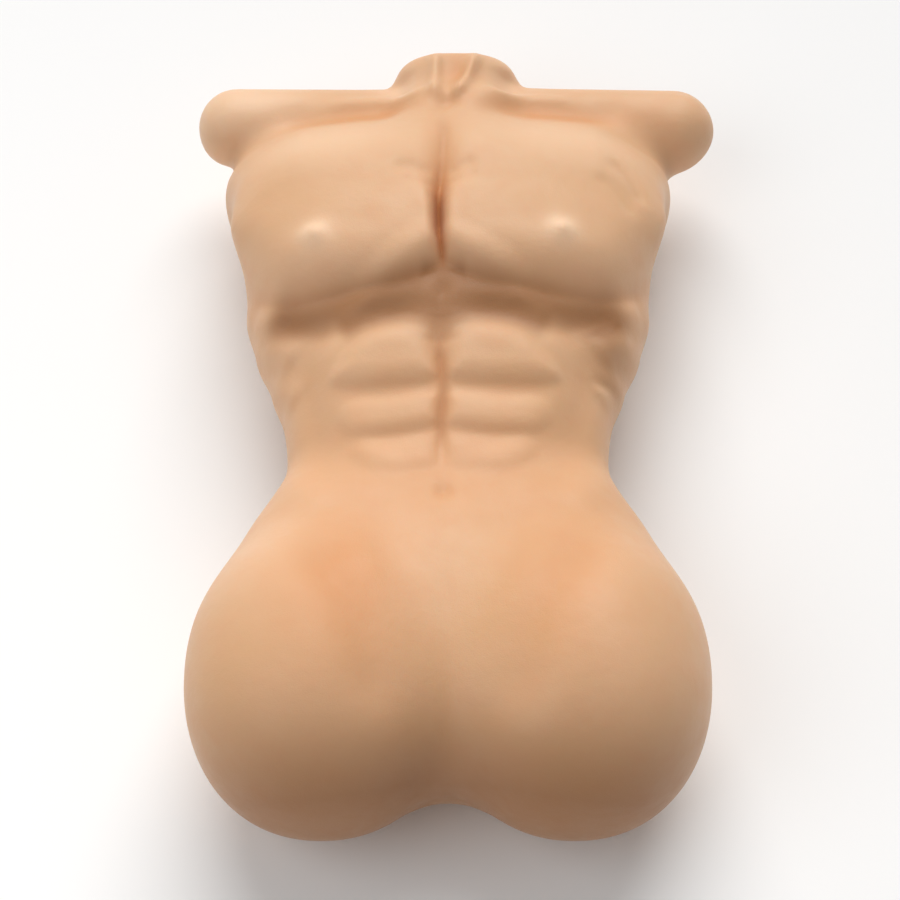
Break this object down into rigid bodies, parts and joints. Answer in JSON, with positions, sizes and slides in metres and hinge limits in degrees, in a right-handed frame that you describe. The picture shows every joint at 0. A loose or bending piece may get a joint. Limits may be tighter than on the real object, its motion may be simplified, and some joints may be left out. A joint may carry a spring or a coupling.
{
  "type": "headless torso mannequin",
  "caption": "Headless, armless male torso mannequin in soft skin-toned elastomer over a foam core and steel stiffener, lying on its back.",
  "frame": {"origin": "middle of the bounding box's underside, on the surface that the back rests on", "axes": "+Z out of the front of the body, +Y towards the neck, +X to the right of a viewer who stands at the feet"},
  "size_m": [0.3456, 0.534, 0.1569],
  "materials": {
    "elastomer": "soft skin-toned thermoplastic elastomer, matte with a light sheen",
    "foam": "closed-cell polyethylene foam, cut by hot wire",
    "steel_tube": "drawn stainless tube",
    "steel_plate": "laser-cut mild steel sheet",
    "zinc_fastener": "bright zinc plate",
    "nylon": "moulded black nylon"
  },
  "bodies": {
    "root": {"torso_skin": "elastomer", "neck_plug": "elastomer", "chest_core_front": "foam", "chest_core_back": "foam", "pelvis_core_front": "foam", "pelvis_core_back": "foam", "spine_tube": "steel_tube", "shoulder_bar": "steel_tube", "pelvis_bar": "steel_tube", "chest_plate": "steel_plate", "pelvis_plate": "steel_plate", "chest_bar_cap_left": "nylon", "chest_bar_cap_right": "nylon", "pelvis_bar_cap_left": "nylon", "pelvis_bar_cap_right": "nylon", "neck_disc": "nylon", "neck_stud": "zinc_fastener", "neck_stud_nut_lower": "zinc_fastener", "neck_stud_nut_upper": "zinc_fastener", "chest_spine_outer_bolt": "zinc_fastener", "chest_spine_outer_nut": "zinc_fastener", "chest_spine_inner_bolt": "zinc_fastener", "chest_spine_inner_nut": "zinc_fastener", "chest_bar_left_bolt": "zinc_fastener", "chest_bar_left_nut": "zinc_fastener", "chest_bar_right_bolt": "zinc_fastener", "chest_bar_right_nut": "zinc_fastener", "pelvis_spine_outer_bolt": "zinc_fastener", "pelvis_spine_outer_nut": "zinc_fastener", "pelvis_spine_inner_bolt": "zinc_fastener", "pelvis_spine_inner_nut": "zinc_fastener", "pelvis_bar_left_bolt": "zinc_fastener", "pelvis_bar_left_nut": "zinc_fastener", "pelvis_bar_right_bolt": "zinc_fastener", "pelvis_bar_right_nut": "zinc_fastener"}
  },
  "joints": []
}
